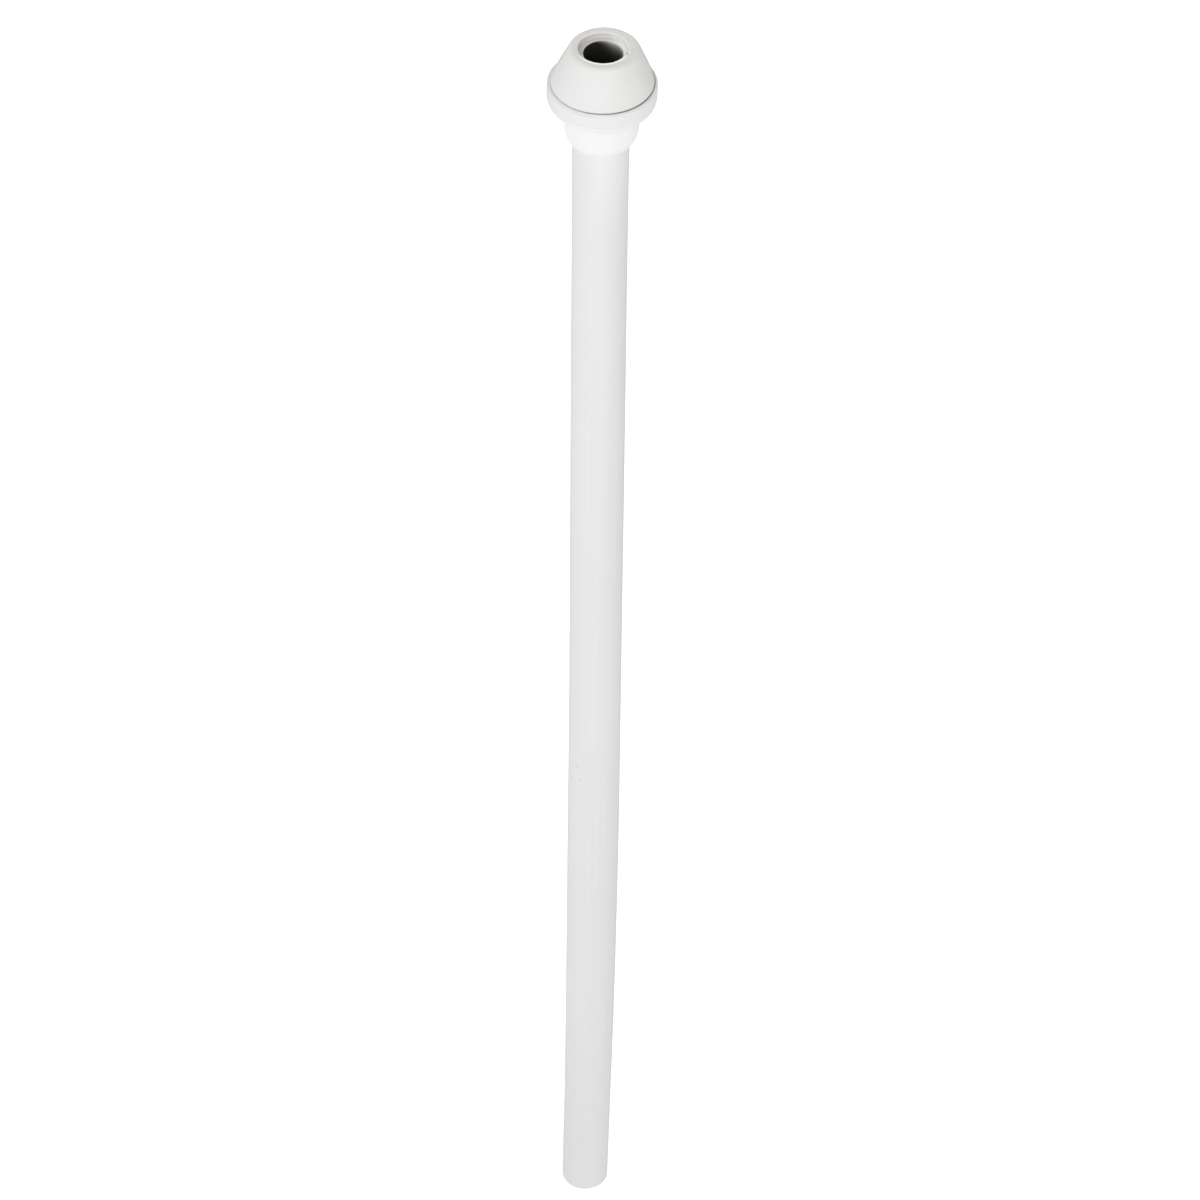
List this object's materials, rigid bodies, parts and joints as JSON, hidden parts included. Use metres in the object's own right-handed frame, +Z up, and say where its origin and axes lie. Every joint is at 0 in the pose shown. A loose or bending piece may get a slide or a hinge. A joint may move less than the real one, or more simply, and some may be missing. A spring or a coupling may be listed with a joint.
{
  "type": "supply riser tube",
  "caption": "Straight plain plastic water supply riser tube with a soft conical sealing washer, a turning friction ring and a bulb-shaped nosepiece at its top end.",
  "frame": {"origin": "centre of the tube's plain foot face", "axes": "+Z up the tube's axis, from the plain foot to the sealing cone; X and Y are alike"},
  "size_m": [0.018, 0.018, 0.3048],
  "materials": {
    "tube_plastic": "satin off-white extruded polyethylene, faint lengthwise draw lines",
    "nose_plastic": "bright white moulded plastic, smooth satin",
    "ring_plastic": "neutral white moulded plastic, smooth satin",
    "cone_rubber": "matte warm light grey elastomer, very fine moulded grain"
  },
  "bodies": {
    "riser_body": {"riser_tube": "tube_plastic", "nosepiece": "nose_plastic"},
    "ring_body": {"friction_ring": "ring_plastic"},
    "washer_body": {"cone_washer": "cone_rubber"}
  },
  "joints": [
    {"name": "ring_swivel", "type": "hinge", "parent": "riser_body", "child": "ring_body", "pos_m": [0, 0, 0.2955], "axis": [0, 0, 1], "continuous": true},
    {"name": "washer_pull_off", "type": "slide", "parent": "riser_body", "child": "washer_body", "axis": [0, 0, 1], "range_m": [0, 0.01]}
  ]
}
